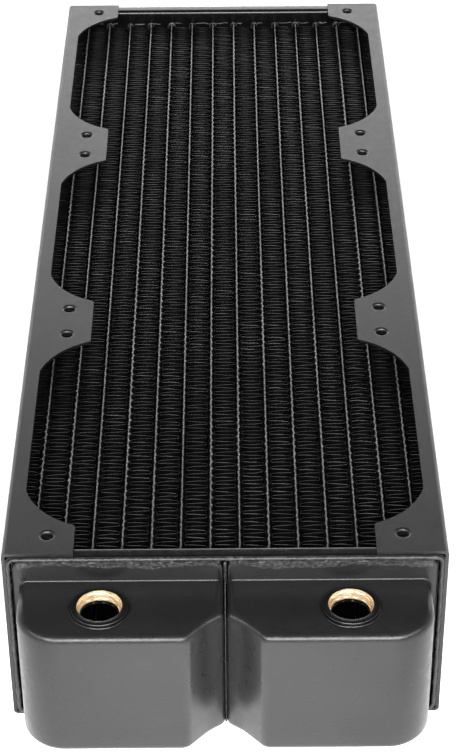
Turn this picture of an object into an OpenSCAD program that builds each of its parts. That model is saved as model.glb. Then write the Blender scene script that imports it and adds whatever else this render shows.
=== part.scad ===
// Liquid cooling radiator for a row of fans, with a two-row flat-tube core.
// X runs across the width, Y along the length towards the return tank, and Z is up.
// The origin is at the middle of the underside of the whole assembly.

/* [Fan bays] */
// Number of fan bays in the row
fan_count = 3; // [1:1:4]
// Length of one fan bay
fan_size = 120; // [119:0.5:122]
// Distance between two fan screws of one bay, both ways
screw_spacing = 105; // [104:0.5:106]
// Diameter of the tapped bore of a fan screw hole
screw_bore_d = 3.3; // [2.5:0.1:3.6]
// Diameter at which the rolled mouth of a fan screw hole meets the flange
screw_mouth_d = 5.2; // [4:0.1:5.6]
// Outer diameter of the pressed neck under a fan screw hole
screw_neck_d = 5.4; // [5:0.1:6]
// Length of the pressed neck below the flange
screw_neck_l = 1.2; // [0.5:0.1:2]

/* [Side panels] */
// Width over both side panels
body_w = 131; // [130:0.5:134]
// Height of the side panels, which is the thickness of the radiator
body_h = 64; // [60:1:70]
// Sheet thickness of the side panels
panel_t = 1; // [0.8:0.1:1.2]
// Outer radius of the folds of the side panels
fold_r = 1.4; // [1.2:0.1:2]
// Width of the flange beside a fan opening
flange_w = 5.3; // [4:0.1:6]
// Width of the flange at the ears that carry the screws
ear_w = 21.1; // [20:0.1:24]
// Corner radius of a fan opening
opening_r = 25; // [20:1:30]
// Half length of a fan opening
opening_half_l = 49.4; // [48:0.1:50]
// Rounding of the corners of an ear
ear_r = 1; // [0.5:0.1:1.5]
// Panel length beyond the first row of screws, at the ports
front_margin = 8.6; // [8:0.1:10]
// Panel length beyond the last row of screws, at the return tank
rear_margin = 7; // [6:0.1:9]

/* [Core] */
// Distance between two tube columns
tube_pitch = 8.75; // [8.5:0.05:8.8]
// Thickness of a flat tube
tube_t = 1.9; // [1.6:0.1:2.4]
// Wall thickness of a flat tube
tube_wall = 0.2; // [0.2:0.05:0.4]
// Depth of the core from its upper to its lower face
core_h = 50.6; // [48:0.2:52]
// Gap between the upper and the lower row of tubes
row_gap = 1.6; // [1:0.1:3]
// Distance between two legs of a fin
fin_pitch = 1.814; // [1.7:0.001:2.4]
// Sheet thickness of a fin
fin_t = 0.1; // [0.05:0.05:0.2]

/* [Header trays] */
// Sheet thickness of the trays
tray_t = 1.2; // [1:0.1:1.4]
// Depth of a tray, from its tube sheet to the edge of its rim
tray_depth = 4.6; // [4:0.1:6]
// How far the edge of a tray's rim stands out past the panels
rim_reach = 0.3; // [0:0.1:0.6]
// Corner radius of a tray
tray_r = 1.6; // [1.4:0.1:3]

/* [Tanks] */
// Wall thickness of the tanks
tank_t = 1.2; // [1:0.1:1.5]
// Height of the body of a tank
tank_h = 45.1; // [40:0.1:48]
// How far the body of a front tank stands out past the panels
front_tank_l = 26.4; // [26:0.1:32]
// How far the body of the return tank stands out past the panels
return_tank_l = 15; // [12:0.5:20]
// Inset of the tanks' outer walls from the panels' outer faces
tank_inset = 4.9; // [4.5:0.1:6]
// Corner radius of the front tanks
front_tank_r = 13; // [10:0.5:14]
// Corner radius of the return tank
return_tank_r = 8; // [5:0.5:10]
// Inset of the brims from the panels' outer faces
brim_inset = 3.1; // [3:0.1:4]
// Inset of the brims from the upper and lower faces
brim_drop = 2.3; // [2.2:0.1:3]
// Corner radius of the brims
brim_r = 2.4; // [2:0.1:4]
// How far the face of a brim stands out past the panels
brim_reach = 1.3; // [0.6:0.1:1.8]
// Gap between the bodies of the two front tanks
tank_gap = 0.6; // [0.4:0.1:2]
// Gap between the brims of the two front tanks
brim_gap = 1.6; // [1.2:0.1:4]

/* [Ports] */
// Distance between the two ports
port_spacing = 72.8; // [70:0.1:76]
// How far the ports lie behind the front face of their tanks
port_setback = 13.2; // [12.5:0.1:14]
// Diameter of the port bore at the crests of its thread
port_bore_d = 11.45; // [11.4:0.01:11.9]
// Length of the port bore
port_l = 4.8; // [4:0.1:10]
// Diameter of the collar on top of the tank
collar_d = 17.1; // [15.5:0.1:18]
// Height of the collar above the tank
collar_h = 1.1; // [0.8:0.1:2]
// Diameter of the collar's neck, where it passes through the tank
neck_d = 14.8; // [14:0.1:15.2]

/* [Hidden] */
tube_columns = 14;
fin_columns = tube_columns + 1;
eps = 0.01;
arc_steps = 12;
$fn = 48;

// Inward turn of a front tank beside the gap, as seen from above
turn_start = 13.3;    // where the flat front ends, from the middle of the radiator
turn_r = 4.5;         // first bend, away from the front
turn_angle = 48;      // slope that the first bend reaches
turn_run = 5.6;       // straight stretch after the first bend
ease_r = 20;          // hollow bend that eases the slope
ease_angle = 12;      // how much it eases
lip_r = 2.2;          // last bend, into the gap

screw_row = (fan_size - screw_spacing) / 2;
hole_span = fan_count * fan_size - 2 * screw_row;
panel_l = hole_span + front_margin + rear_margin;
total_l = panel_l + front_tank_l + return_tank_l;
front_y = -total_l / 2;
rear_y = total_l / 2;
panel_front_y = front_y + front_tank_l;
panel_rear_y = rear_y - return_tank_l;
first_bay_y = panel_front_y + front_margin - screw_row + fan_size / 2;

panel_x = body_w / 2;
wall_x = panel_x - panel_t;
flange_x = panel_x - flange_w;
ear_x = panel_x - ear_w;
screw_x = screw_spacing / 2;
// The opening's corner arc passes a little outside the flange's edge
opening_half_w = flange_x + 0.9;

tray_h = body_h - 2 * panel_t;
front_rim_y = panel_front_y - rim_reach;
rear_rim_y = panel_rear_y + rim_reach;
front_sheet_y = front_rim_y + tray_depth;
rear_sheet_y = rear_rim_y - tray_depth;
core_l = rear_sheet_y - front_sheet_y;

tube_h = (core_h - row_gap) / 2;
core_low_z = (body_h - core_h) / 2;
tube_reach = 1.5;
tube_l = core_l + 2 * (tray_t + tube_reach);
tube_gap = tube_pitch - tube_t;
outer_tube_x = (tube_columns - 1) / 2 * tube_pitch;
fin_end_gap = 0.8;
fin_legs = floor((core_l - 2 * fin_end_gap) / fin_pitch);
fold_half = 0.3 * fin_pitch;

tank_x = panel_x - tank_inset;
tank_low_z = (body_h - tank_h) / 2;
tank_high_z = tank_low_z + tank_h;
brim_x = panel_x - brim_inset;
brim_h = body_h - 2 * brim_drop;
front_brim_y = panel_front_y - brim_reach;
rear_brim_y = panel_rear_y + brim_reach;
port_y = front_y + port_setback;
collar_top_z = tank_high_z + collar_h;

function two_digits(n) = n < 10 ? str("0", n) : str(n);
function tube_name(n, row) = str("tube_", two_digits(n), "_", row);
function fin_name(n) = str("fin_", two_digits(n));
function tube_x(n) = (n - 1) * tube_pitch - outer_tube_x;
function arc(center, r, from, to, steps = arc_steps) =
    [for (i = [0:steps]) let (a = from + (to - from) * i / steps)
        center + r * [cos(a), sin(a)]];

paint = "#2b2c2e";
core_paint = "#1b1b1c";
brass = "#b8893b";

// ---- Side panels ----

// Cross-section of the right-hand channel, with X across and Y standing for the height
module channel_section() {
    lower_fold = arc([panel_x - fold_r, fold_r], fold_r, -90, 0);
    upper_fold = arc([panel_x - fold_r, body_h - fold_r], fold_r, 0, 90);
    upper_inside = arc([panel_x - fold_r, body_h - fold_r], fold_r - panel_t, 90, 0);
    lower_inside = arc([panel_x - fold_r, fold_r], fold_r - panel_t, 0, -90);
    polygon(concat(
        [[flange_x, 0]], lower_fold, upper_fold, [[flange_x, body_h]],
        [[flange_x, body_h - panel_t]], upper_inside, lower_inside, [[flange_x, panel_t]]));
}

// The round-cornered outline that one bay cuts out of the ears
module bay_opening() {
    half_w = opening_half_w - opening_r;
    half_l = opening_half_l - opening_r;
    square([2 * opening_half_w, 2 * half_l], center = true);
    square([2 * half_w, 2 * opening_half_l], center = true);
    for (x = [-half_w, half_w]) for (y = [-half_l, half_l])
        translate([x, y]) circle(opening_r, $fn = 96);
}

// Rounds the tip of the ear at the far right of a bay centred at the origin
module ear_tip_cut() {
    arc_center = [opening_half_w - opening_r, opening_half_l - opening_r];
    across = ear_x + ear_r - arc_center.x;
    up = sqrt(pow(opening_r + ear_r, 2) - pow(across, 2));
    round_center = arc_center + [across, up];
    on_arc = arc_center + [across, up] * opening_r / (opening_r + ear_r);
    difference() {
        polygon([[ear_x - eps, arc_center.y + opening_r / 2], on_arc, round_center,
                 [ear_x - eps, round_center.y]]);
        translate(round_center) circle(ear_r);
    }
}

// Plan of the ears along the right-hand flange
module ear_plan() {
    difference() {
        translate([ear_x, panel_front_y]) square([flange_x - ear_x + fold_r, panel_l]);
        for (bay = [0:fan_count - 1]) translate([0, first_bay_y + bay * fan_size]) {
            difference() {
                bay_opening();
                translate([flange_x, -fan_size / 2]) square([ear_w, fan_size]);
            }
            ear_tip_cut();
            mirror([0, 1]) ear_tip_cut();
        }
    }
}

// Places its children at every screw of the right-hand flange
module at_screws() {
    for (bay = [0:fan_count - 1]) for (side = [-1, 1])
        translate([screw_x, first_bay_y + bay * fan_size + side * screw_spacing / 2, 0])
            children();
}

// Rounded funnel that cuts the rolled mouth of a screw hole, with its rim at Z = 0
module rolled_mouth() {
    roll_r = (screw_mouth_d - screw_bore_d) / 2;
    rotate_extrude() polygon(concat(
        [[0, eps], [screw_mouth_d / 2, eps]],
        arc([screw_mouth_d / 2, -roll_r], roll_r, 90, 180),
        [[0, -roll_r]]));
}

// Upper ears with their pressed screw necks, at the top of the panel
module upper_ears() {
    difference() {
        union() {
            translate([0, 0, body_h - panel_t]) linear_extrude(panel_t) ear_plan();
            at_screws() translate([0, 0, body_h - panel_t - screw_neck_l])
                cylinder(h = screw_neck_l + panel_t / 2, d = screw_neck_d);
        }
        at_screws() translate([0, 0, body_h - panel_t - screw_neck_l - 1])
            cylinder(h = screw_neck_l + panel_t + 2, d = screw_bore_d);
        at_screws() translate([0, 0, body_h]) rolled_mouth();
    }
}

module right_panel() {
    union() {
        translate([0, panel_rear_y, 0]) rotate([90, 0, 0])
            linear_extrude(panel_l) channel_section();
        upper_ears();
        translate([0, 0, body_h]) mirror([0, 0, 1]) upper_ears();
    }
}

module side_panel_right() { color(paint) right_panel(); }
module side_panel_left() { color(paint) mirror([1, 0, 0]) right_panel(); }

// ---- Core ----

// Outline of a flat tube with round edges, with X across and Y standing for the height
module tube_outline(inset = 0) {
    straight = tube_h - tube_t;
    square([tube_t - 2 * inset, straight], center = true);
    for (side = [-1, 1]) translate([0, side * straight / 2])
        circle(d = tube_t - 2 * inset, $fn = 24);
}

// Middle heights of the lower and the upper row of tubes
row_z = [core_low_z + tube_h / 2, core_low_z + tube_h * 1.5 + row_gap];

module flat_tube(n, z) {
    color(core_paint) translate([tube_x(n), tube_l / 2 + (front_sheet_y + rear_sheet_y) / 2, z])
        rotate([90, 0, 0]) linear_extrude(tube_l) difference() {
            tube_outline();
            tube_outline(tube_wall);
        }
}

// Outline of a corrugated fin: slanting legs joined by flat folds on its two sides.
// The folds are numbered from the front, and odd ones lie on the right.
module fin_plan(left, right) {
    half = fin_t / 2;
    first = (front_sheet_y + rear_sheet_y - fin_legs * fin_pitch) / 2;
    folds = [for (k = [1:fin_legs - 1]) [k % 2 == 1, first + k * fin_pitch]];
    front_side = [for (f = folds) let (x = f[0] ? right : left + fin_t, s = f[0] ? half : -half)
        each [[x, f[1] - fold_half - s], [x, f[1] + fold_half + s]]];
    back_side = [for (f = folds) let (x = f[0] ? right - fin_t : left, s = f[0] ? -half : half)
        each [[x, f[1] - fold_half - s], [x, f[1] + fold_half + s]]];
    start = first + fold_half;
    finish = first + fin_legs * fin_pitch - fold_half;
    end_x = fin_legs % 2 == 0 ? left : right;
    polygon(concat(
        [[left, start - half]], front_side, [[end_x, finish - half]],
        [[end_x, finish + half]], [for (i = [len(back_side) - 1:-1:0]) back_side[i]],
        [[left, start + half]]));
}

module fin(n) {
    left = n == 1 ? -wall_x : tube_x(n - 1) + tube_t / 2;
    right = n == fin_columns ? wall_x : tube_x(n) - tube_t / 2;
    color(core_paint) translate([0, 0, core_low_z]) linear_extrude(core_h)
        fin_plan(left, right);
}

// ---- Header trays ----

// Round-cornered rectangle, with X across and Y standing for the height
module plate_outline(low_x, high_x, h, r) {
    translate([low_x + r, (body_h - h) / 2]) square([high_x - low_x - 2 * r, h]);
    translate([low_x, (body_h - h) / 2 + r]) square([high_x - low_x, h - 2 * r]);
    for (x = [low_x + r, high_x - r]) for (side = [-1, 1])
        translate([x, body_h / 2 + side * (h / 2 - r)]) circle(r);
}

// Tray whose tube sheet starts at y = 0 and whose rim points along -Y
module tray() {
    difference() {
        rotate([90, 0, 0]) linear_extrude(tray_depth)
            plate_outline(-wall_x, wall_x, tray_h, tray_r);
        translate([0, -tray_t, 0]) rotate([90, 0, 0]) linear_extrude(tray_depth)
            plate_outline(tray_t - wall_x, wall_x - tray_t, tray_h - 2 * tray_t,
                tray_r - tray_t / 2);
        for (n = [1:tube_columns]) for (z = row_z)
            translate([tube_x(n), eps, z]) rotate([90, 0, 0])
                linear_extrude(tray_t + 2 * eps) tube_outline();
    }
}

module header_tray_front() { color(paint) translate([0, front_sheet_y, 0]) tray(); }
module header_tray_rear() { color(paint) translate([0, rear_sheet_y, 0]) mirror([0, 1, 0]) tray(); }

// ---- Tanks ----

// Plan of the right-hand front tank, drawn smaller all round by inset.
// The outline runs from the brim along the outer wall, the front, the inward turn and the gap.
function front_tank_plan(inset) = let (
    outer_center = [tank_x - front_tank_r, front_y + front_tank_r],
    turn_center = [turn_start, front_y + turn_r],
    slope = [-cos(turn_angle), sin(turn_angle)],
    away = [-sin(turn_angle), -cos(turn_angle)],
    run_end = turn_center + turn_r * away + turn_run * slope,
    ease_center = run_end + ease_r * away,
    eased = turn_angle - ease_angle,
    eased_out = [-sin(eased), -cos(eased)],
    ease_end = ease_center - ease_r * eased_out,
    eased_slope = [-cos(eased), sin(eased)],
    lip_x = tank_gap / 2 + lip_r,
    lip_run = (ease_end.x - lip_r * eased_out.x - lip_x) / cos(eased),
    lip_center = ease_end - lip_r * eased_out + lip_run * eased_slope
) concat(
    [[tank_x - inset, front_brim_y + (inset > 0 ? 1 : 0)]],
    arc(outer_center, front_tank_r - inset, 0, -90),
    arc(turn_center, turn_r - inset, -90, -90 - turn_angle),
    arc(ease_center, ease_r + inset, 90 - turn_angle, 90 - eased),
    arc(lip_center, lip_r - inset, -90 - eased, -180),
    [[tank_gap / 2 + inset, front_brim_y + (inset > 0 ? 1 : 0)]]);

// Brim block, from the tray's tube sheet out to the face of the brim
module brim_block(low_x, high_x, depth, inset = 0) {
    rotate([90, 0, 0]) linear_extrude(depth)
        plate_outline(low_x + inset, high_x - inset, brim_h - 2 * inset, brim_r - inset);
}

module front_tank() {
    skirt_y = front_sheet_y - tray_t;
    skirt_l = skirt_y - front_brim_y;
    difference() {
        union() {
            translate([0, skirt_y, 0]) brim_block(brim_gap / 2, brim_x, skirt_l);
            translate([0, 0, tank_low_z]) linear_extrude(tank_h)
                polygon(front_tank_plan(0));
        }
        translate([0, skirt_y + 1, 0])
            brim_block(brim_gap / 2, brim_x, skirt_l - tank_t + 1, tank_t);
        translate([0, 0, tank_low_z + tank_t]) linear_extrude(tank_h - 2 * tank_t)
            polygon(concat([[tank_x - tank_t, skirt_y - skirt_l / 2]],
                front_tank_plan(tank_t), [[brim_gap / 2 + tank_t, skirt_y - skirt_l / 2]]));
        translate([port_spacing / 2, port_y, tank_high_z - tank_t - 1])
            cylinder(h = tank_t + 2, d = neck_d);
    }
}

module outlet_tank() { color(paint) front_tank(); }
module inlet_tank() { color(paint) mirror([1, 0, 0]) front_tank(); }

// Plan of the return tank, drawn smaller all round by inset
module return_tank_plan(inset = 0) {
    r = return_tank_r;
    near_y = rear_brim_y - (inset > 0 ? tank_t + 1 : 0);
    polygon(concat(
        [[-(tank_x - inset), near_y], [tank_x - inset, near_y]],
        arc([tank_x - r, rear_y - r], r - inset, 0, 90),
        arc([-(tank_x - r), rear_y - r], r - inset, 90, 180)));
}

module return_tank() {
    skirt_y = rear_sheet_y + tray_t;
    skirt_l = rear_brim_y - skirt_y;
    color(paint) difference() {
        union() {
            translate([0, rear_brim_y, 0]) brim_block(-brim_x, brim_x, skirt_l);
            translate([0, 0, tank_low_z]) linear_extrude(tank_h) return_tank_plan();
        }
        translate([0, rear_brim_y - tank_t, 0])
            brim_block(-brim_x, brim_x, skirt_l - tank_t + 1, tank_t);
        translate([0, 0, tank_low_z + tank_t]) linear_extrude(tank_h - 2 * tank_t)
            return_tank_plan(tank_t);
    }
}

// ---- Ports ----

module port_collar(side) {
    translate([side * port_spacing / 2, port_y, 0]) difference() {
        union() {
            translate([0, 0, tank_high_z]) cylinder(h = collar_h, d = collar_d);
            translate([0, 0, collar_top_z - port_l]) cylinder(h = port_l - eps, d = neck_d);
        }
        translate([0, 0, collar_top_z - port_l - 1]) cylinder(h = port_l + 2, d = port_bore_d);
    }
}

module port_collar_left() { color(brass) port_collar(-1); }
module port_collar_right() { color(brass) port_collar(1); }

side_panel_left();
side_panel_right();
header_tray_front();
header_tray_rear();
inlet_tank();
outlet_tank();
return_tank();
port_collar_left();
port_collar_right();
for (n = [1:tube_columns]) {
    flat_tube(n, row_z[1]);
    flat_tube(n, row_z[0]);
}
for (n = [1:fin_columns]) fin(n);
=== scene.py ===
"""Looks of the liquid cooling radiator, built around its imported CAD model.

The radiator's frame has X across, Y towards the return tank and Z up.
Shapes are worked out in millimetres, and scaled to metres when their mesh is made.
"""

import math

import bmesh
import bpy
import numpy as np
from mathutils import Matrix, Vector


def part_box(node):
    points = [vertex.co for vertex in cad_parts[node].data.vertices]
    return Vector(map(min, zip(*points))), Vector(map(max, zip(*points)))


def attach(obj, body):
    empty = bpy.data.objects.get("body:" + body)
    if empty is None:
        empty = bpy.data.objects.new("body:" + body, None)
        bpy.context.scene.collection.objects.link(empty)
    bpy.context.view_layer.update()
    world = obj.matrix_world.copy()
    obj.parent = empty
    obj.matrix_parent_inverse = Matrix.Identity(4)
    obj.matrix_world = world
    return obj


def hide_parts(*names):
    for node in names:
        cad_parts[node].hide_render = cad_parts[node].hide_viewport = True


MM = 0.001        # metres in a millimetre
BODY = "root"     # the one body that every piece rides on

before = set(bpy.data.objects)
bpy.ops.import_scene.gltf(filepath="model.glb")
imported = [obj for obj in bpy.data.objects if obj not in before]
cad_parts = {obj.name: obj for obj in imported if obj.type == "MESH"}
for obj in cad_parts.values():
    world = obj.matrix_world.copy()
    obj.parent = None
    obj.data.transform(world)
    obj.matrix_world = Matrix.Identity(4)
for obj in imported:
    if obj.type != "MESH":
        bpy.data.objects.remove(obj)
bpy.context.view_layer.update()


def box_mm(node):
    """Lowest and highest corner of a CAD node, in millimetres."""
    low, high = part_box(node)
    return np.array(low) / MM, np.array(high) / MM


# ------------------------------------------------------------------ camera

LENS = 104.64                           # focal length in millimetres
CAMERA_AT = (1.88, -663.08, 476.85)     # in millimetres
CAMERA_TURN = (35.576, 0.068, -0.451)   # degrees down, to the left and round the line of sight


def make_camera():
    """Long lens above the ports, looking down the length of the radiator."""
    data = bpy.data.cameras.new("camera")
    data.lens = LENS
    data.clip_start, data.clip_end = 0.01, 20
    camera = bpy.data.objects.new("camera", data)
    camera.location = Vector(CAMERA_AT) * MM
    pitch, yaw, roll = (math.radians(a) for a in CAMERA_TURN)
    turn = Matrix.Rotation(yaw, 4, "Z") @ Matrix.Rotation(math.pi / 2 - pitch, 4, "X")
    camera.rotation_euler = (turn @ Matrix.Rotation(roll, 4, "Z")).to_euler()
    bpy.context.collection.objects.link(camera)
    bpy.context.scene.camera = camera


make_camera()


# --------------------------------------------------------------- materials

class Shader:
    """A material under construction: its tree, its Principled node and short ways to add nodes."""

    def __init__(self, name, color, roughness, metallic=0.0, specular=0.5):
        self.material = bpy.data.materials.new(name)
        self.material.use_nodes = True
        self.tree = self.material.node_tree
        self.principled = self.tree.nodes["Principled BSDF"]
        self.set("Base Color", (*color, 1))
        self.set("Roughness", roughness)
        self.set("Metallic", metallic)
        self.set("Specular IOR Level", specular)
        self.place = self.node("TexCoord").outputs["Object"]

    def set(self, socket, value):
        """Sets a socket of the Principled node, or links an output to it."""
        self.fill(self.principled, socket, value)

    def fill(self, node, socket, value):
        if isinstance(value, bpy.types.NodeSocket):
            self.tree.links.new(value, node.inputs[socket])
        else:
            node.inputs[socket].default_value = value

    def node(self, kind, inputs=None, **settings):
        """A new node with its settings, and its inputs set or linked."""
        node = self.tree.nodes.new("ShaderNode" + kind)
        for name, value in settings.items():
            setattr(node, name, value)
        for socket, value in (inputs or {}).items():
            self.fill(node, socket, value)
        return node

    def combine(self, operation, *values):
        """The result of a sum on one or two values."""
        return self.node("Math", dict(enumerate(values)), operation=operation).outputs["Value"]

    def axis(self, vector, letter):
        """One coordinate of a vector."""
        return self.node("SeparateXYZ", {"Vector": vector}).outputs[letter]

    def noise(self, size_mm, detail=2.0, roughness=0.5, stretch=(1, 1, 1)):
        """Value noise whose features are about size_mm wide."""
        mapping = self.node("Mapping", {"Vector": self.place, "Scale": stretch})
        return self.node("TexNoise", {
            "Vector": mapping.outputs["Vector"],
            "Scale": 1 / (size_mm * MM),
            "Detail": detail,
            "Roughness": roughness,
        }).outputs["Fac"]

    def ranged(self, value, low, high, source=(0.3, 0.7), ease="LINEAR"):
        """low to high as value goes through source."""
        return self.node("MapRange", {
            "Value": value,
            "From Min": source[0],
            "From Max": source[1],
            "To Min": low,
            "To Max": high,
        }, interpolation_type=ease).outputs["Result"]

    def spread(self, middle, size, start, end, inner, outer):
        """inner to outer as the distance from middle, in units of size, goes from start to end."""
        mapping = self.node("Mapping", {
            "Vector": self.place,
            "Location": (-middle[0] / size[0], -middle[1] / size[1], 0),
            "Scale": (1 / size[0], 1 / size[1], 0),
        })
        distance = self.node("VectorMath", {0: mapping.outputs["Vector"]}, operation="LENGTH")
        return self.ranged(distance.outputs["Value"], inner, outer, (start, end), "SMOOTHSTEP")

    def vary_color(self, fac, dark, light, source=(0.3, 0.7)):
        """Base colour that runs from dark to light as fac goes through source."""
        ramp = self.node("ValToRGB", {"Fac": fac})
        for end, position, color in zip(ramp.color_ramp.elements, source, (dark, light)):
            end.position = position
            end.color = (*color, 1)
        self.set("Base Color", ramp.outputs["Color"])

    def vary_roughness(self, fac, low, high):
        self.set("Roughness", self.ranged(fac, low, high))

    def bump(self, height, depth_mm):
        """Raises the surface by depth_mm times height."""
        node = self.node("Bump", {"Strength": 1.0, "Distance": depth_mm * MM, "Height": height})
        self.set("Normal", node.outputs["Normal"])


def powder_coat(name, tone, roughness, grain_mm, grain_depth, specular=0.5):
    """Satin black powder coat: a fine grain, uneven gloss and a slow change of tone."""
    tone_patch_mm, gloss_patch_mm, gloss_spread = 18, 3, 0.05
    s = Shader(name, (tone,) * 3, roughness, specular=specular)
    dark = (tone * 0.85, tone * 0.85, tone * 0.9)
    light = (tone * 1.15, tone * 1.15, tone * 1.2)
    s.vary_color(s.noise(tone_patch_mm, detail=3), dark, light)
    gloss = s.noise(gloss_patch_mm, detail=4)
    s.vary_roughness(gloss, roughness - gloss_spread, roughness + gloss_spread)
    s.bump(s.noise(grain_mm, detail=2), grain_depth)
    return s.material


def rough_solder_paint(name, tone):
    """Black paint over rough solder, lighter on its high spots and darker between them: painted
    highlight and painted shade.
    """
    lump_mm, lump_height = 1.1, 0.25
    s = Shader(name, (tone,) * 3, 0.42)
    lumps = s.noise(lump_mm, detail=4, roughness=0.65)
    # the solder's high spots are painted lighter and its hollows darker: painted highlight and shade
    s.vary_color(lumps, (tone * 0.5,) * 3, (tone * 2.4,) * 3, source=(0.4, 0.68))
    s.vary_roughness(lumps, 0.36, 0.5)
    s.bump(lumps, lump_height)
    return s.material


HIGHLIGHT_ALONG = (0.42, 1.0)      # share of the painted highlight on edges at the ports' end and at the far end: painted light that grows along the radiator
HIGHLIGHT_FROM = (-0.17, 0.18)     # where along the radiator those two ends are, in metres


def paint_with_painted_highlight(name, dark, light, crown, roughness, patch_mm, stretch, grain_depth=0.0, specular=0.3):
    """Black paint with a painted highlight on its edges, in patches: a lighter colour there.

    The painted highlight grows as the surface turns from steep to level, while the upright share of its
    normal goes through crown, and it grows towards the far end.
    """
    grain_mm, least_highlight = 0.45, 0.05
    s = Shader(name, (dark,) * 3, roughness, specular=specular)
    patch = s.ranged(s.noise(patch_mm, detail=3, roughness=0.6, stretch=stretch), least_highlight, 1)
    # the painted highlight is stronger towards the far end: a painted light gradient
    along = s.ranged(s.axis(s.place, "Y"), *HIGHLIGHT_ALONG, source=HIGHLIGHT_FROM)
    upright = s.combine("ABSOLUTE", s.axis(s.node("TexCoord").outputs["Normal"], "Z"))
    level = s.ranged(upright, 0, 1, source=crown)
    highlight_share = s.combine("MULTIPLY", s.combine("MULTIPLY", level, patch), along)
    s.vary_color(highlight_share, (dark,) * 3, (light,) * 3, source=(0, 1))
    if grain_depth:
        s.bump(s.noise(grain_mm, detail=2), grain_depth)
    return s.material


def turned_brass():
    """Bare turned brass, a little stained."""
    stain_mm = 3.5
    s = Shader("turned_brass", (0.80, 0.66, 0.42), 0.44, metallic=1.0)
    s.vary_color(s.noise(stain_mm, detail=1), (0.70, 0.50, 0.30), (0.88, 0.74, 0.54), source=(0.3, 0.6))
    return s.material


PANEL = powder_coat("panel_paint", 0.0035, 0.34, grain_mm=0.4, grain_depth=0.08)
TRAY = powder_coat("tray_paint", 0.002, 0.24, grain_mm=0.7, grain_depth=0.03, specular=0.36)
TANK = powder_coat("tank_paint", 0.007, 0.31, grain_mm=0.7, grain_depth=0.045, specular=0.35)
COLLAR = powder_coat("collar_paint", 0.002, 0.24, grain_mm=0.5, grain_depth=0.02, specular=0.4)
SOLDER = rough_solder_paint("solder_paint", 0.022)
JOINT = rough_solder_paint("joint_paint", 0.012)
# Tubes and fins: black paint with a painted highlight on their upward edges
TUBE = paint_with_painted_highlight("tube_paint", 0.002, 0.27, crown=(0.78, 0.98), roughness=0.40, patch_mm=0.7,
                  stretch=(1, 0.6, 1), grain_depth=0.04)
FIN_HIGHLIGHT = dict(crown=(0.4, 0.9), roughness=0.42, patch_mm=5.0, stretch=(0.3, 1, 0.3), specular=0.05)
FIN = paint_with_painted_highlight("fin_paint", 0.0004, 0.062, **FIN_HIGHLIGHT)
# alternate fin legs, picked at random, get a brighter painted highlight
FIN_BRIGHT_HIGHLIGHT = paint_with_painted_highlight("fin_bright_highlight", 0.0004, 0.145, **FIN_HIGHLIGHT)
# the fins' folds beside the tubes get almost no highlight: painted shade
FOLD_SHADE = paint_with_painted_highlight("fold_shade_paint", 0.0005, 0.01, crown=(0.45, 0.95), roughness=0.6, patch_mm=1.3,
                  stretch=(1, 1, 1), specular=0.1)
BRASS = turned_brass()


# -------------------------------------------------------------- mesh tools

def shade(mesh, sharp=35):
    """Smooth shading, with sharp edges where faces meet at more than so many degrees."""
    mesh.shade_smooth()
    mesh.set_sharp_from_angle(angle=math.radians(sharp))


def face_outwards(mesh):
    bm = bmesh.new()
    bm.from_mesh(mesh)
    bmesh.ops.recalc_face_normals(bm, faces=bm.faces)
    bm.to_mesh(mesh)
    bm.free()


def make_piece(name, points, faces, materials, slot, nodes=(), sharp=35, pick=None):
    """A piece of the radiator from points in millimetres. pick gives each face's material number."""
    mesh = bpy.data.meshes.new(name)
    mesh.from_pydata((np.asarray(points, float) * MM).tolist(), [], faces)
    for material in materials:
        mesh.materials.append(material)
    if pick is not None:
        mesh.polygons.foreach_set("material_index", pick)
    face_outwards(mesh)
    shade(mesh, sharp)
    piece = bpy.data.objects.new(name, mesh)
    bpy.context.collection.objects.link(piece)
    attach(piece, BODY)
    if nodes:
        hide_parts(*nodes)
    return piece


def skin(rings, start=0, closed=True, wrapped=False):
    """Quads between successive rings of equally many points, numbered from start.

    A closed ring's last point joins its first. Wrapped rings go round: the last joins the first.
    """
    count, total = len(rings[0]), len(rings)
    faces = []
    for k in range(total if wrapped else total - 1):
        a, b = start + k * count, start + (k + 1) % total * count
        for i in range(count if closed else count - 1):
            j = (i + 1) % count
            faces.append((a + i, a + j, b + j, b + i))
    return faces


def nearest(bm, point):
    """The vertex at point, made if there is none."""
    target = Vector(point)
    for v in bm.verts:
        if (v.co - target).length < 1e-3:
            return v
    return bm.verts.new(point)


def tidy_mesh(points, faces, holes=()):
    """Merges points that meet, fills each planar set of loops and turns all faces outwards."""
    bm = bmesh.new()
    verts = [bm.verts.new(p) for p in points]
    for face in faces:
        bm.faces.new([verts[i] for i in face])
    bmesh.ops.remove_doubles(bm, verts=bm.verts, dist=1e-4)
    for loops in holes:
        edges = []
        for loop in loops:
            ring = [nearest(bm, p) for p in loop]
            for a, b in zip(ring, ring[1:] + ring[:1]):
                if a is not b:
                    edges.append(bm.edges.get((a, b)) or bm.edges.new((a, b)))
        bmesh.ops.triangle_fill(bm, edges=edges, use_beauty=True)
    bmesh.ops.recalc_face_normals(bm, faces=bm.faces)
    bm.verts.index_update()
    merged_points = [v.co[:] for v in bm.verts]
    merged_faces = [[v.index for v in f.verts] for f in bm.faces]
    bm.free()
    return merged_points, merged_faces


def arc(center, radius, start, end, steps):
    """Points on an arc in a plane, with angles in degrees."""
    angles = np.radians(np.linspace(start, end, steps + 1))
    return [(center[0] + radius * math.cos(a), center[1] + radius * math.sin(a)) for a in angles]


def quarter_turn(steps):
    """Angles from 0 to a right angle, in radians."""
    return [math.radians(90 * i / steps) for i in range(steps + 1)]


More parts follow.
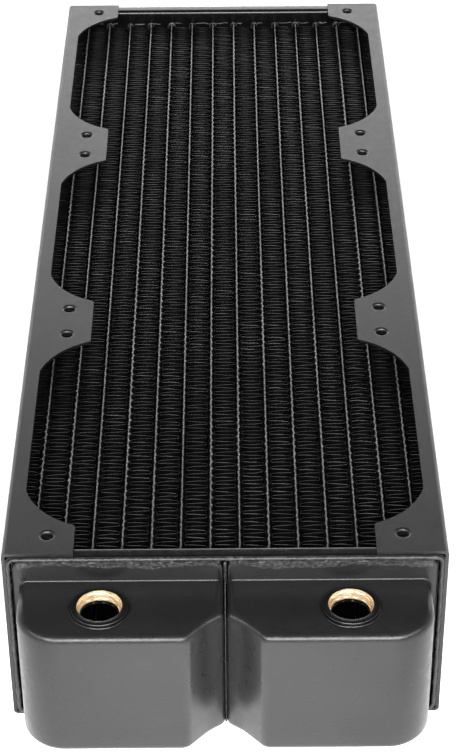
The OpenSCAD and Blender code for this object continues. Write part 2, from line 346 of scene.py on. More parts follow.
def rounded_ring(low_x, high_x, low_z, high_z, radius, y, steps, across, up):
    """Closed rounded rectangle in a plane of constant y.

    Each corner has so many steps, the level sides are cut in across stretches and the upright
    ones in up stretches, so that rings of any size can be skinned.
    """
    corners = [(high_x - radius, high_z - radius, 0), (low_x + radius, high_z - radius, 90),
               (low_x + radius, low_z + radius, 180), (high_x - radius, low_z + radius, 270)]
    points = []
    for k, (cx, cz, start) in enumerate(corners):
        points += arc((cx, cz), radius, start, start + 90, steps)
        nx, nz, next_start = corners[(k + 1) % 4]
        a = np.array(points[-1])
        b = np.array(arc((nx, nz), radius, next_start, next_start, 1)[0])
        count = across if k % 2 == 0 else up
        points += [tuple(a + (b - a) * i / count) for i in range(1, count)]
    return [(x, y, z) for x, z in points]


def smooth_noise(rng, length, spacing, at):
    """Smooth random values from -1 to 1, which change over the given spacing."""
    knots = np.arange(-spacing, length + 2 * spacing, spacing)
    return np.interp(at, knots, rng.uniform(-1, 1, len(knots)))


def add_wall(piece):
    """Gives a pressed shell its sheet thickness, inwards."""
    wall = piece.modifiers.new("wall", "SOLIDIFY")
    wall.thickness = WALL * MM
    wall.offset = -1
    return wall


def round_edges(piece, radius, segments, angle):
    """Rounds the edges where faces meet at more than an angle in degrees."""
    edge = piece.modifiers.new("edge", "BEVEL")
    edge.width = radius * MM
    edge.segments = segments
    edge.limit_method = "ANGLE"
    edge.angle_limit = math.radians(angle)


def apply_modifiers(piece):
    """Bakes a piece's modifiers into its mesh."""
    graph = bpy.context.evaluated_depsgraph_get()
    mesh = bpy.data.meshes.new_from_object(piece.evaluated_get(graph))
    old = piece.data
    piece.modifiers.clear()
    piece.data = mesh
    bpy.data.meshes.remove(old)
    shade(mesh)


# ------------------------------------------------------------------- tanks

WALL = 1.2            # wall of the tanks and trays
BRIM_STEP_X = 1.8     # from the brim's edge in to the tank's outer wall
BRIM_STEP_Z = 7.15    # from the brim's edge in to the tank's upper or lower face
BRIM_R = 2.4          # corner radius of the brims
BRIM_EDGE = 0.8       # rounding of a brim's edge
SKIRT = 4.4           # from a tray's tube sheet out to the face of a brim
TOP_EDGE = 2.6        # rounding of a tank's upper and lower edges
FOOT = 0.7            # hollow rounding where a tank meets its brim
FRONT_R = 13.0        # outer vertical corner of a front tank
REAR_R = 8.0          # vertical corners of the return tank
SLOT = 0.3            # half the gap between the bodies of the two front tanks
BRIM_SLOT = 0.8       # half the gap between their brims
TURN_X = 13.3         # where a front tank's flat front starts to turn in towards the gap
TURN_ANGLE = 48       # how far it turns, in degrees
TURN_R = 4.5          # radius of that turn
EASE_R = 20           # radius of the hollow after the turn
EASE_ANGLE = 12       # how far the hollow turns back
RUN = 5.6             # straight stretch between the turn and the hollow
LIP_R = 2.2           # rounding into the gap
COLLAR_R = 8.55       # outer radius of a port collar
NECK_R = 7.4          # radius of its seat in the tank
EDGE_STEPS = 7        # steps in the tanks' rounded edges
UP_STEPS = 8          # stretches in the tanks' height

front_low, front_high = box_mm("outlet_tank")
rear_low, rear_high = box_mm("return_tank")
collar_low, collar_high = box_mm("port_collar_right")
port_x, port_y = (collar_low[:2] + collar_high[:2]) / 2
tank_top = front_high[2] - BRIM_STEP_Z
tank_bottom = front_low[2] + BRIM_STEP_Z
brim_front_y = front_high[1] - SKIRT
brim_rear_y = rear_low[1] + SKIRT


def inwards(angle):
    """Direction from the middle of a rounding to the front, turned by angle towards the gap."""
    return np.array([-math.sin(math.radians(angle)), -math.cos(math.radians(angle))])


def beside(direction):
    """Direction along the surface where direction is its normal, towards the gap."""
    return np.array([direction[1], -direction[0]])


def front_outline(inset, start_y):
    """Right-hand front tank from above: outer wall, front, inward turn and the gap."""
    front = front_low[1]
    outer = front_high[0] - BRIM_STEP_X
    wall_y = front + FRONT_R
    eased = TURN_ANGLE - EASE_ANGLE
    turn = np.array([TURN_X, front + TURN_R])
    away = inwards(TURN_ANGLE)
    ease = turn + TURN_R * away + RUN * beside(away) + EASE_R * away
    out = inwards(eased)
    lip = ease - EASE_R * out - LIP_R * out
    lip = lip + beside(out) * (lip[0] - SLOT - LIP_R) / math.cos(math.radians(eased))
    points = [(outer - inset, start_y + (wall_y - start_y) * t) for t in (0, 0.35, 0.7)]
    points += arc((outer - FRONT_R, wall_y), FRONT_R - inset, 0, -90, 20)
    flat = np.linspace(outer - FRONT_R, TURN_X, 9)[1:-1]
    points += [(x, front + inset) for x in flat]
    points += arc(turn, TURN_R - inset, -90, -90 - TURN_ANGLE, 10)
    points += arc(ease, EASE_R + inset, 90 - TURN_ANGLE, 90 - eased, 6)
    points += arc(lip, max(LIP_R - inset, 0.05), -90 - eased, -180, 8)
    points += [(SLOT + inset, lip[1] + (start_y - lip[1]) * t) for t in (0.5, 1)]
    return points


def rear_outline(inset, start_y):
    """Return tank from above, from its right-hand wall to its left-hand one."""
    rear = rear_high[1]
    outer = rear_high[0] - BRIM_STEP_X
    center = outer - REAR_R
    points = [(outer - inset, start_y)]
    points += arc((center, rear - REAR_R), REAR_R - inset, 0, 90, 14)
    points += [(x, rear - inset) for x in np.linspace(center, -center, 25)[1:-1]]
    points += arc((-center, rear - REAR_R), REAR_R - inset, 90, 180, 14)
    return points + [(inset - outer, start_y)]


def tank_shell(outline, side, body_x, brim_x, brim_y, skirt_y, across, split=False, hole=None):
    """Outer surface of a tank.

    side is -1 at the ports' end and 1 at the other. body_x and brim_x are the lowest and highest
    x of the body and of the brim. A split tank is straight where it faces the gap in the middle.
    hole is the middle of the port's seat.
    """
    start_y = brim_y + side * FOOT
    rounding = quarter_turn(EDGE_STEPS)
    straight = tank_top - tank_bottom - 2 * TOP_EDGE
    levels = [(TOP_EDGE * (1 - math.sin(a)), tank_bottom + TOP_EDGE * (1 - math.cos(a)))
              for a in rounding]
    levels += [(0, tank_bottom + TOP_EDGE + straight * i / UP_STEPS) for i in range(1, UP_STEPS)]
    levels += [(inset, tank_top + tank_bottom - z) for inset, z in reversed(levels[:EDGE_STEPS + 1])]
    sheets = [[(x, y, z) for x, y in outline(inset, start_y)] for inset, z in levels]
    points = [p for sheet in sheets for p in sheet]
    faces = skin(sheets, closed=False)

    def ring(span, low_z, high_z, radius, out, y):
        return rounded_ring(span[0] - (0 if split else out), span[1] + out, low_z - out, high_z + out,
                            radius + out, y, EDGE_STEPS, across, UP_STEPS)

    rings = []
    for a in rounding:
        out = FOOT * (1 - math.cos(a))
        y = start_y - side * FOOT * math.sin(a)
        rings.append(ring(body_x, tank_bottom, tank_top, TOP_EDGE, out, y))
    for a in rounding:
        out = BRIM_EDGE * (math.sin(a) - 1)
        y = brim_y - side * BRIM_EDGE * (1 - math.cos(a))
        rings.append(ring(brim_x, front_low[2], front_high[2], BRIM_R, out, y))
    rings.append([(x, skirt_y, z) for x, _, z in rings[-1]])
    faces += skin(rings, len(points))
    points += [p for r in rings for p in r]

    caps = []
    for sheet in (sheets[0], sheets[-1]):
        z = sheet[0][2]
        back = np.linspace(sheet[-1][0], sheet[0][0], across + 1)[1:-1]
        caps.append([sheet + [(x, start_y, z) for x in back]])
    if hole:
        caps[1].append([(x, y, tank_top) for x, y in arc(hole, NECK_R, 0, 360, 48)[:-1]])
    return tidy_mesh(points, faces, caps)


def make_tank(name, points, faces):
    """A tank's piece, with its wall."""
    piece = make_piece(name, points, faces, [TANK], "tank_paint", [name])
    add_wall(piece).use_quality_normals = True
    apply_modifiers(piece)


def make_front_tank(name, mirrored):
    points, faces = tank_shell(
        front_outline, -1, (SLOT, front_high[0] - BRIM_STEP_X), (BRIM_SLOT, front_high[0]),
        brim_front_y, front_high[1], across=16, split=True, hole=(port_x, port_y))
    if mirrored:
        points = [(-x, y, z) for x, y, z in points]
        faces = [face[::-1] for face in faces]
    make_tank(name, points, faces)


def make_return_tank():
    outer = rear_high[0] - BRIM_STEP_X
    points, faces = tank_shell(rear_outline, 1, (-outer, outer), (rear_low[0], rear_high[0]),
                               brim_rear_y, rear_low[1], across=24)
    make_tank("return_tank", points, faces)


make_front_tank("outlet_tank", False)
make_front_tank("inlet_tank", True)
make_return_tank()


# ------------------------------------------------------------------- ports

BORE_R = 5.725          # radius of the G1/4 thread's crests
THREAD_PITCH = 1.337
THREAD_DEPTH = 0.85
FIRST_GROOVE = 0.8      # how deep the first groove lies in the wall away from the front
MOUTH_TAPER = 0.3       # how much the mouth narrows in each millimetre of depth
BRASS_DEPTH = 2.9        # how far down from the mouth the bore shows brass; deeper it takes the black collar paint
RIM_R = 0.45            # rounding of the collar's outer rim


def make_collar(name, side):
    """Turned collar with a right-hand thread: brass at its mouth, black collar paint outside and deeper
    in the bore.
    """
    around, rows_per_turn = 96, 12
    low, high = collar_low[2], collar_high[2]
    mouth_r, mouth_z = BORE_R + THREAD_DEPTH + 0.05, high - 0.04
    outside = [(NECK_R, low), (NECK_R, tank_top), (COLLAR_R, tank_top), (COLLAR_R, high - RIM_R)]
    outside += arc((COLLAR_R - RIM_R, high - RIM_R), RIM_R, 15, 90, 6)
    outside += [(mouth_r + 0.08, high), (mouth_r, mouth_z)]
    rows = int((mouth_z - low) / THREAD_PITCH * rows_per_turn)
    angles = np.linspace(0, 2 * math.pi, around, endpoint=False)
    profile = [(np.full(around, r), z) for r, z in outside]
    for row in range(1, rows + 1):
        z = mouth_z + (low - mouth_z) * row / rows
        turn = ((z - mouth_z + FIRST_GROOVE) / THREAD_PITCH + 0.25 - angles / (2 * math.pi)) % 1
        groove = np.clip(2.0 * np.abs(2 * turn - 1) - 0.85, 0, 1)     # 0 on a crest, 1 in a groove
        mouth = mouth_r - (mouth_z - z) * MOUTH_TAPER
        profile.append((np.maximum(BORE_R + THREAD_DEPTH * groove, mouth), z))
    rings = [np.column_stack([side * port_x + radii * np.cos(angles),
                              port_y + radii * np.sin(angles), np.full(around, z)])
             for radii, z in profile]
    faces = skin(rings, wrapped=True)
    # faces from the mouth down so far are brass; deeper ones take the black collar paint
    brass_from = len(outside) - 1
    brass_to = brass_from + 1 + int(BRASS_DEPTH / THREAD_PITCH * rows_per_turn)
    pick = [int(brass_from <= i // around < brass_to) for i in range(len(faces))]
    make_piece(name, np.concatenate(rings), faces, [COLLAR, BRASS], "port_brass", [name], pick=pick)


make_collar("port_collar_right", 1)
make_collar("port_collar_left", -1)


# ------------------------------------------------------------ header trays

TRAY_BEND = 1.5       # rounding between a tray's rim and its tube sheet
TRAY_R = 2.2          # corner radius of a tray
TRAY_EDGE = 0.25      # rounding of its cut edges
SLOT_ROOM = 0.03      # room round a tube in its slot

tube_names = [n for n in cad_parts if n.startswith("tube_")]
fin_names = [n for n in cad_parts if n.startswith("fin_")]


def tube_section(node, spread, steps=7):
    """Outline of a flat tube across its length, as (x, z) points, spread outwards."""
    low, high = box_mm(node)
    x = (low[0] + high[0]) / 2
    r = (high[0] - low[0]) / 2
    upper = arc((x, high[2] - r), r + spread, 0, 180, steps)
    return upper + arc((x, low[2] + r), r + spread, 180, 360, steps)


def slot_cutter(y_low, y_high):
    """One mesh of all the prisms that cut the tubes' slots in a tray."""
    points, faces = [], []
    for node in tube_names:
        section = tube_section(node, SLOT_ROOM)
        count, near, far = len(section), len(points), len(points) + len(section)
        points += [(x, y, z) for y in (y_low, y_high) for x, z in section]
        for i in range(count):
            j = (i + 1) % count
            faces.append((near + i, far + i, far + j, near + j))
        faces += [tuple(range(near, far)), tuple(reversed(range(far, far + count)))]
    mesh = bpy.data.meshes.new("slots")
    mesh.from_pydata((np.array(points) * MM).tolist(), [], faces)
    cutter = bpy.data.objects.new("slots", mesh)
    bpy.context.collection.objects.link(cutter)
    return cutter


def make_tray(name, side):
    """Pressed tray with a rounded bend, a rim and the tubes' slots. side is -1 at the ports' end."""
    low, high = box_mm(name)
    rim_y, sheet_y = (low[1], high[1]) if side < 0 else (high[1], low[1])
    bend_steps, corner_steps, across, up = 6, 6, 40, 20

    def ring(inset, y):
        return rounded_ring(low[0] + inset, high[0] - inset, low[2] + inset, high[2] - inset,
                            TRAY_R - inset, y, corner_steps, across, up)

    rings = [ring(0, y) for y in np.linspace(rim_y, sheet_y + side * TRAY_BEND, 4)]
    rings += [ring(TRAY_BEND * (1 - math.cos(a)), sheet_y + side * TRAY_BEND * (1 - math.sin(a)))
              for a in quarter_turn(bend_steps)[1:]]
    points = [p for r in rings for p in r]
    sheet = tuple(range(len(points) - len(rings[0]), len(points)))
    piece = make_piece(name, *tidy_mesh(points, skin(rings) + [sheet]), [TRAY], "tray_paint", [name])
    add_wall(piece)
    cutter = slot_cutter(sheet_y - 3, sheet_y + 3)
    cut = piece.modifiers.new("slots", "BOOLEAN")
    cut.object = cutter
    cut.operation = "DIFFERENCE"
    cut.solver = "EXACT"
    round_edges(piece, TRAY_EDGE, segments=2, angle=50)
    apply_modifiers(piece)
    bpy.data.objects.remove(cutter)


make_tray("header_tray_front", -1)
make_tray("header_tray_rear", 1)


# ------------------------------------------------------------------- tubes

FIN_PITCH = 1.814     # distance between two legs of a fin
STATION = 0.45        # distance between the rings of a tube's skin
CROWN_INSET = 0.6     # how far a tube's crown stands in from its sides between the fin joints
SHOULDER = 1.7        # depth at which a tube reaches its full width
FILLET = 0.8          # half length of the solder fillet where a fold of a fin touches a tube
BORE_SHARE = (0.6, 0.985)     # share of a tube's width and height that its bore takes


def make_tube(node, seed):
    """Flat tube with a solder-roughened skin and a plain bore from end to end."""
    rng = np.random.default_rng(seed)
    low, high = box_mm(node)
    length = high[1] - low[1]
    stations = np.linspace(0, length, round(length / STATION) + 1)
    center_x, center_z = (low[0] + high[0]) / 2, (low[2] + high[2]) / 2
    half_w = (high[0] - low[0]) / 2
    dent_every, dent_depth = 2.2, 0.08
    drift_every, drift_reach = 60, 0.06
    sink = np.abs(smooth_noise(rng, length, dent_every, stations)) * dent_depth
    drift = smooth_noise(rng, length, drift_every, stations) * drift_reach
    fold_start = (length - int(length / FIN_PITCH) * FIN_PITCH) / 2
    teeth = []     # for each side, how far the solder fills the crown out at each station
    for side in range(2):
        strength = rng.uniform(0.5, 1.4) * (0.6 + 0.4 * smooth_noise(rng, length, 30, stations))
        phase = (stations - fold_start) / (2 * FIN_PITCH) + side / 2
        near_fold = np.clip(1 - np.abs(phase - np.round(phase)) * 2 * FIN_PITCH / FILLET, 0, 1)
        rough = 0.25 * np.abs(smooth_noise(rng, length, 0.9, stations))
        teeth.append(np.clip(near_fold * strength + rough, 0, 1))
    angles = np.radians(np.linspace(0, 180, 9))
    rings = []
    for k, s in enumerate(stations):
        crown = []
        for a in angles:
            tooth = teeth[0 if a < math.pi / 2 else 1][k]
            across = math.cos(a) * (half_w - CROWN_INSET * (1 - tooth))
            rise = half_w * math.sin(a) ** (1 - 0.7 * tooth) if a not in (0, math.pi) else 0
            crown.append((center_x + across + drift[k], high[2] - half_w - sink[k] + rise))
        upper = [(high[0], high[2] - SHOULDER)] + crown + [(low[0], high[2] - SHOULDER)]
        lower = [(2 * center_x - x, 2 * center_z - z) for x, z in upper]
        rings.append([(x, low[1] + s, z) for x, z in upper + lower])
    share_x, share_z = BORE_SHARE
    rings += [[(center_x + (x - center_x) * share_x, y, center_z + (z - center_z) * share_z)
               for x, y, z in ring] for ring in (rings[-1], rings[0])]
    points = [p for r in rings for p in r]
    make_piece(node, points, skin(rings, wrapped=True), [TUBE], "tube_paint", [node], sharp=60)


for number, node in enumerate(sorted(tube_names)):
    make_tube(node, 100 + number)


# -------------------------------------------------------------------- fins

FOIL = 0.09           # thickness of the fins' foil
HEM = 0.2             # half thickness near a fin's upper and lower face, where paint has gathered
LEAN = 0.22           # how far a level whose lean is 1 leans along the radiator
LEG_POINTS = 8        # points of a fin's path for each leg: six round its fold and two along it

# Levels of a fin from its upper and its lower face inwards: depth, lean and half thickness
UPPER_LEVELS = [(0, 0.0, 0.15), (0.06, 0.1, HEM), (0.25, 0.4, HEM), (0.42, 0.8, FOIL / 2),
                (0.8, 0.3, FOIL / 2), (1.3, -0.8, FOIL / 2), (2.0, 0.0, FOIL / 2)]
LOWER_LEVELS = [(1.0, 0.4, FOIL / 2), (0.25, 0.4, HEM), (0, 0.0, 0.07)]


def fin_path(rng, low, high):
    """Middle line of a corrugated fin from above: uneven legs and rounded folds."""
    left, right = low[0] + FOIL / 2, high[0] - FOIL / 2
    legs = int((high[1] - low[1] + FIN_PITCH * 0.6) / FIN_PITCH)
    first = (low[1] + high[1] - legs * FIN_PITCH) / 2
    drift_step, fold_stray, leg_bow = 0.035, 0.05, 0.04     # standard deviations
    short_share, short_most = 0.12, 0.35                    # folds that end short of the tube
    drift = np.cumsum(rng.normal(0, drift_step, legs + 1))
    drift -= np.linspace(drift[0], drift[-1], legs + 1)
    path = []
    for k in range(1, legs):
        on_right = k % 2 == 1
        y = first + k * FIN_PITCH + drift[k] + rng.normal(0, fold_stray)
        half = FIN_PITCH * rng.uniform(0.32, 0.44)
        reach = rng.uniform(0.4, 0.7)
        wall, inward = (right, -1) if on_right else (left, 1)
        if rng.random() < short_share:
            wall += inward * rng.uniform(0, short_most)
        bow = rng.normal(0, leg_bow)
        path += [(wall + inward * reach, y - half),
                 (wall + inward * reach * 0.3, y - half * 0.8),
                 (wall, y - half * 0.3),
                 (wall, y + half * 0.3),
                 (wall + inward * reach * 0.3, y + half * 0.8),
                 (wall + inward * reach, y + half)]
        x, y = path[-1]
        next_x = left + reach if on_right else right - reach
        next_y = first + (k + 1) * FIN_PITCH - FIN_PITCH * 0.35
        path += [(x + (next_x - x) * t, y + (next_y - y) * t + bow) for t in (0.3, 0.65)]
    return np.array(path[:-2])


def fin_faces(count, levels):
    """Faces of a foil with two sides of count points at each level: sides, ends, top and bottom."""
    faces = []
    for k in range(levels - 1):
        upper, lower = k * 2 * count, (k + 1) * 2 * count
        for i in range(count - 1):
            faces.append((upper + i, upper + i + 1, lower + i + 1, lower + i))
            faces.append((upper + count + i + 1, upper + count + i,
                          lower + count + i, lower + count + i + 1))
        for i in (0, count - 1):
            faces.append((upper + i, lower + i, lower + count + i, upper + count + i))
    last = (levels - 1) * 2 * count
    for i in range(count - 1):
        faces.append((i, count + i, count + i + 1, i + 1))
        faces.append((last + i, last + i + 1, last + count + i + 1, last + count + i))
    return faces


def make_fin(node, seed):
    """Corrugated foil strip: uneven folds, with wavy louvred edges at its two faces."""
    rng = np.random.default_rng(seed)
    low, high = box_mm(node)
    path = fin_path(rng, low, high)
    step = np.gradient(path, axis=0)
    step /= np.linalg.norm(step, axis=1)[:, None]
    normal = np.stack([step[:, 1], -step[:, 0]], axis=1)
    at = np.arange(len(path))
    aside = np.abs(path[:, 0] - (low[0] + high[0]) / 2) / ((high[0] - low[0]) / 2)
    slat = np.clip(1.5 - 1.2 * aside, 0, 1)     # 1 along the legs, less towards the folds
    wave_height, fold_dip = 0.15, 0.2
    wave = np.abs(smooth_noise(rng, len(path), LEG_POINTS, at) * wave_height)
    ragged = wave + fold_dip * (1 - slat) ** 1.5
    points = []
    for face_z, inward, levels in ((high[2], -1, UPPER_LEVELS), (low[2], 1, LOWER_LEVELS)):
        for depth, lean, half_t in levels:
            z = face_z + inward * (depth + ragged * max(0, 1 - depth / 2))
            thickness = FOIL / 2 + (half_t - FOIL / 2) * slat
            for half in (thickness, -thickness):
                flat = path + normal * half[:, None]
                flat[:, 1] += lean * LEAN * slat
                points += np.column_stack([flat, z]).tolist()
    faces = fin_faces(len(path), len(UPPER_LEVELS) + len(LOWER_LEVELS))
    # faces at the folds take the darker fold material: painted shade where the fins meet the tubes
    folded = aside > 0.82
    leg = at // LEG_POINTS
    uneven = smooth_noise(rng, len(path), 20 * LEG_POINTS, at)
    uneven += rng.normal(0, 0.35, leg[-1] + 1)[leg]
    # alternate legs, picked at random, whose painted highlight is brighter
    bright_legs = (leg % 2 == 0) & (uneven > 0.15)
    pick = []
    for face in faces:
        i, j = face[0] % len(path), face[1] % len(path)
        pick.append(2 if folded[i] and folded[j] else int(bright_legs[i]))
    make_piece(node, points, faces, [FIN, FIN_BRIGHT_HIGHLIGHT, FOLD_SHADE], "fin_paint", [node], sharp=50, pick=pick)


for number, node in enumerate(sorted(fin_names)):
    make_fin(node, 500 + number)


# ------------------------------------------------------------ solder beads

APRON_X = (1.4, 61.0)     # the stretch of a brim that the rough solder under its upper joint covers
APRON_TOP = 61.9          # height at which it starts
APRON_DROP = 2.6          # how far down it reaches on average
APRON_BULGE = 0.42        # how far it stands out at its top
JOINT_STEP = 0.5          # distance between the sections of a bead in a joint


def bead(path, radius, rng, closed=True, sides=8, swell=(0.12, 0.10)):
    """Bead of solder along a path in a plane of constant y.

    swell is how far its radius strays over short and over long stretches, as a share of it.
    """
    path = np.asarray(path, float)
    count = len(path)
    ahead, behind = np.roll(path, -1, 0), np.roll(path, 1, 0)
    if not closed:
        ahead[-1], behind[0] = path[-1], path[0]
    tangent = ahead - behind
    tangent /= np.linalg.norm(tangent, axis=1)[:, None]
    across = np.stack([tangent[:, 2], np.zeros(count), -tangent[:, 0]], axis=1)
    at = np.cumsum(np.linalg.norm(path - behind, axis=1))
    fine = smooth_noise(rng, at[-1], 1.4, at) * swell[0]
    size = radius * (1 + fine + smooth_noise(rng, at[-1], 8.0, at) * swell[1])
    if closed:
        size[-5:] = np.linspace(size[-5], size[0], 6)[:5]
    else:
        size[0] = size[-1] = radius * 0.1
    lines = []
    for k in range(sides):
        a = 2 * math.pi * k / sides
        line = path + across * (math.cos(a) * size)[:, None]
        line[:, 1] += math.sin(a) * size
        lines.append(line)
    faces = skin(lines, closed=closed, wrapped=True)
    if not closed:
        faces.append(tuple(k * count for k in range(sides)))
        faces.append(tuple(k * count + count - 1 for k in reversed(range(sides))))
    return np.concatenate(lines).tolist(), faces


def make_beads(name, beads, paint):
    """One piece from several beads."""
    points, faces = [], []
    for bead_points, bead_faces in beads:
        start = len(points)
        points += bead_points
        faces += [tuple(i + start for i in face) for face in bead_faces]
    make_piece(name, points, faces, [paint], "tray_paint", sharp=80)


def spaced(path, step):
    """The closed path with its points about step apart."""
    path = np.asarray(path + path[:1], float)
    at = np.concatenate([[0], np.cumsum(np.linalg.norm(np.diff(path, axis=0), axis=1))])
    where = np.linspace(0, at[-1], max(int(at[-1] / step), 12), endpoint=False)
    return np.stack([np.interp(where, at, path[:, k]) for k in range(3)], axis=1)


def joint_bead(rng, y, inset, radius):
    """Bead that closes the joint between a tray's rim and the brim inside it."""
    low, high = box_mm("header_tray_front")
    proud = 0.2      # how far it stands over the tray above and below
    ring = rounded_ring(low[0] + inset, high[0] - inset, low[2] - proud + inset, high[2] + proud - inset,
                        1.9, y, steps=8, across=60, up=40)
    return bead(spaced(ring, JOINT_STEP), radius, rng, swell=(0.25, 0.12))


def slot_seam(rng, start_y):
    """Upright beads that close the gap between the front tanks' bodies."""
    end_y, apart, radius = front_low[1] + 11.5, 0.45, 0.34
    upright = np.arange(tank_bottom + 0.4, tank_top - 0.3, 0.7)
    seams = [bead([(0, y, z) for z in upright], radius, rng, closed=False, sides=6)
             for y in np.arange(start_y, end_y, -apart)]
    make_beads("slot_seam", seams, COLLAR)


def solder_apron(rng, name, side):
    """Rough skin of solder that has run down a brim from the joint above it."""
    end = APRON_X[1]
    across = np.arange(*APRON_X, 0.35)
    drop = APRON_DROP + 1.2 * smooth_noise(rng, end, 6, across)
    drop += 0.5 * smooth_noise(rng, end, 1.6, across)
    front, back = [], []
    for t in np.linspace(0, 1, 15):
        lumps = smooth_noise(rng, end, 1.1, across) * 0.10
        bulge = APRON_BULGE * (1 - t) ** 1.4 + lumps * (1 - t) ** 0.5
        bulge[[0, -1]] = 0
        x, z = side * across, APRON_TOP - drop * t
        front.append(np.column_stack([x, brim_front_y - np.maximum(bulge, 0) + 0.05 * t, z]))
        back.append(np.column_stack([x, np.full(len(x), brim_front_y + 0.3), z]))
    wide, rows = len(across), len(front)
    behind = wide * rows
    faces = skin(front, closed=False) + skin(back, behind, closed=False)
    for line in (range(0, behind, wide), range(wide - 1, behind, wide),
                 range(wide), range(behind - wide, behind)):
        faces += [(a, b, b + behind, a + behind) for a, b in zip(line, line[1:])]
    make_piece(name, np.concatenate(front + back), faces, [SOLDER], "tank_paint", sharp=80)


def brim_solder():
    """Solder round the brims, in the gap between the front tanks and down the front brims."""
    rng = np.random.default_rng(31)
    front_y, rear_y = front_high[1] - 3.7, rear_low[1] + 3.9
    ridge = [(0, front_y - 0.35, z) for z in np.arange(3.0, 61.6, JOINT_STEP)]
    front = [joint_bead(rng, front_y, inset=0.95, radius=0.62),
             bead(ridge, 0.5, rng, closed=False)]
    slot_seam(rng, front_y - 0.9)
    solder_apron(rng, "solder_apron_left", -1)
    solder_apron(rng, "solder_apron_right", 1)
    make_beads("brim_solder_front", front, JOINT)
    make_beads("brim_solder_rear", [joint_bead(rng, rear_y, inset=1.3, radius=0.42)], JOINT)


def tube_solder(rng, name, y, inward):
    """Fillets round the tubes where they pass through a tray, and runs of solder beside some."""
    beads = []
    for node in tube_names:
        ring = [(x, y + inward * 0.12, z) for x, z in tube_section(node, rng.uniform(0, 0.3), 8)]
        beads.append(bead(spaced(ring, 0.7), rng.uniform(0.25, 0.5), rng, sides=6, swell=(0.35, 0.3)))
        if node.endswith("upper"):
            low, high = box_mm(node)
            reach = rng.uniform(1.0, 3.4) * 2
            start = high[0] + (rng.random() < 0.3) * 0.5
            run = np.arange(start, min(start + reach, 64), 0.4)
            sag = smooth_noise(rng, 9, 2.0, run - run[0]) * 0.35
            path = [(x, y + inward * 0.15, high[2] + 0.1 + s) for x, s in zip(run, sag)]
            radius = rng.uniform(0.22, 0.4)
            beads.append(bead(path, radius, rng, closed=False, sides=6, swell=(0.35, 0.2)))
    make_beads(name, beads, JOINT)


def collar_solder(rng, name, side):
    """Fillet of solder at the foot of a port collar."""
    around, swell_reach = 64, 0.10
    swell = smooth_noise(rng, around, 4, np.arange(around)) * swell_reach
    swell[-3:] = swell[0]
    angles = np.linspace(0, 2 * math.pi, around, endpoint=False)
    # Out from the collar's wall and up from the tank
    profile = [(-0.1, 0.36), (0.2, 0.34), (0.42, 0.22), (0.58, 0.02), (0.58, -0.3), (-0.1, -0.3)]
    rings = []
    for out, z in profile:
        radii = COLLAR_R + out + swell * (out > 0)
        rings.append(np.column_stack([side * port_x + radii * np.cos(angles),
                                      port_y + radii * np.sin(angles), np.full(around, tank_top + z)]))
    make_piece(name, np.concatenate(rings), skin(rings, wrapped=True), [COLLAR], "tank_paint", sharp=80)


brim_solder()
tray_rng = np.random.default_rng(47)
tube_solder(tray_rng, "tube_solder_front", box_mm("header_tray_front")[1][1], 1)
tube_solder(tray_rng, "tube_solder_rear", box_mm("header_tray_rear")[0][1], -1)
collar_rng = np.random.default_rng(59)
collar_solder(collar_rng, "collar_solder_left", -1)
collar_solder(collar_rng, "collar_solder_right", 1)


# ------------------------------------------------------------- side panels

for node in ("side_panel_left", "side_panel_right"):
    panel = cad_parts[node]
    panel.data.materials.clear()
    panel.data.materials.append(PANEL)
    round_edges(panel, 0.3, segments=3, angle=40)


# ------------------------------------------------------------------ studio

STUDIO_GLOW = [(12, 1.0), (20, 0.8), (28, 0.4), (36, 0.16), (46, 0.10)]   # (degrees up, brightness)

# The rest of the studio is in metres
POOL_AT = (0, -0.375)        # middle of the bright pool on the floor
POOL_SIZE = (0.15, 0.357)    # its half sizes
POOL_GLOW = 3.1              # emission in the middle of the pool
NEAR_GLOW = 0.05             # emission beside the radiator
FAR_GLOW = 0.8               # emission a metre and more away
FLOOR_HALF = 8.0             # half the width of the floor
FLOOR_Z = -0.0001            # just under the radiator
PORTS_AT = (0, -0.15, 0.05)  # what the lamps at the ports' end point at


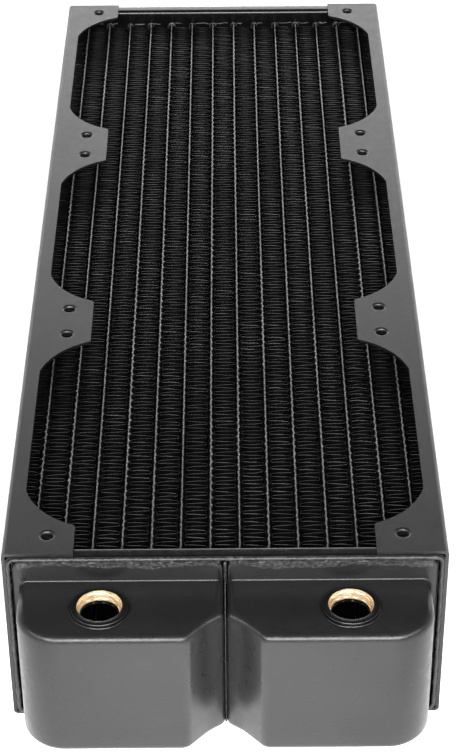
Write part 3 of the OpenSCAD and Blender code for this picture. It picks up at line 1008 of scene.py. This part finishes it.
def make_world():
    """Pale all round near the horizon and dim overhead, like a low ring of softboxes."""
    world = bpy.data.worlds.new("studio")
    bpy.context.scene.world = world
    world.use_nodes = True
    tree = world.node_tree
    background = tree.nodes["Background"]
    place = tree.nodes.new("ShaderNodeTexCoord")
    split = tree.nodes.new("ShaderNodeSeparateXYZ")
    ramp = tree.nodes.new("ShaderNodeValToRGB")
    ends = ramp.color_ramp.elements
    while len(ends) < len(STUDIO_GLOW):
        ends.new(0.5)
    for end, (elevation, glow) in zip(ends, STUDIO_GLOW):
        end.position = math.sin(math.radians(elevation))
        end.color = (glow, glow, glow, 1)
    tree.links.new(place.outputs["Generated"], split.inputs["Vector"])
    tree.links.new(split.outputs["Z"], ramp.inputs["Fac"])
    tree.links.new(ramp.outputs["Color"], background.inputs["Color"])
    background.inputs["Strength"].default_value = 1.0


def make_floor():
    """Pale floor that glows as a light: most strongly in a pool just in front of the tanks, which lights
    them, faintly beside the radiator and more again further off.
    """
    s = Shader("pale_floor", (0.86, 0.86, 0.86), 0.9, specular=0.0)
    pool = s.spread(POOL_AT, POOL_SIZE, 0, 1, POOL_GLOW - NEAR_GLOW, 0)
    far = s.spread((0, 0), (1, 1), 0.45, 1.1, NEAR_GLOW, FAR_GLOW)
    s.set("Emission Color", (1, 1, 1, 1))
    s.set("Emission Strength", s.combine("ADD", pool, far))
    mesh = bpy.data.meshes.new("floor")
    corners = [(-1, -1), (1, -1), (1, 1), (-1, 1)]
    mesh.from_pydata([(x * FLOOR_HALF, y * FLOOR_HALF, FLOOR_Z) for x, y in corners], [], [(0, 1, 2, 3)])
    mesh.materials.append(s.material)
    floor = bpy.data.objects.new("floor", mesh)
    bpy.context.collection.objects.link(floor)


def make_light(name, place, target, width, height, power):
    """Soft card of light in metres and watts, which the camera doesn't see."""
    data = bpy.data.lights.new(name, "AREA")
    data.shape = "RECTANGLE"
    data.size, data.size_y = width, height
    data.energy = power
    light = bpy.data.objects.new(name, data)
    light.location = place
    light.rotation_euler = (Vector(target) - Vector(place)).to_track_quat("-Z", "Y").to_euler()
    light.visible_camera = False
    bpy.context.collection.objects.link(light)


bpy.context.scene.view_settings.view_transform = "Standard"
make_world()
make_floor()
make_light("back_card", (0, 1.25, 0.52), (0, 0, 0.52), 2.6, 0.46, power=13.5)
make_light("front_card", (0, -1.2, 0.85), PORTS_AT, 1.6, 0.5, power=60)
make_light("left_card", (-1.15, -0.75, 0.9), PORTS_AT, 1.0, 0.16, power=8)
make_light("right_card", (1.15, -0.75, 0.9), PORTS_AT, 1.0, 0.16, power=8)
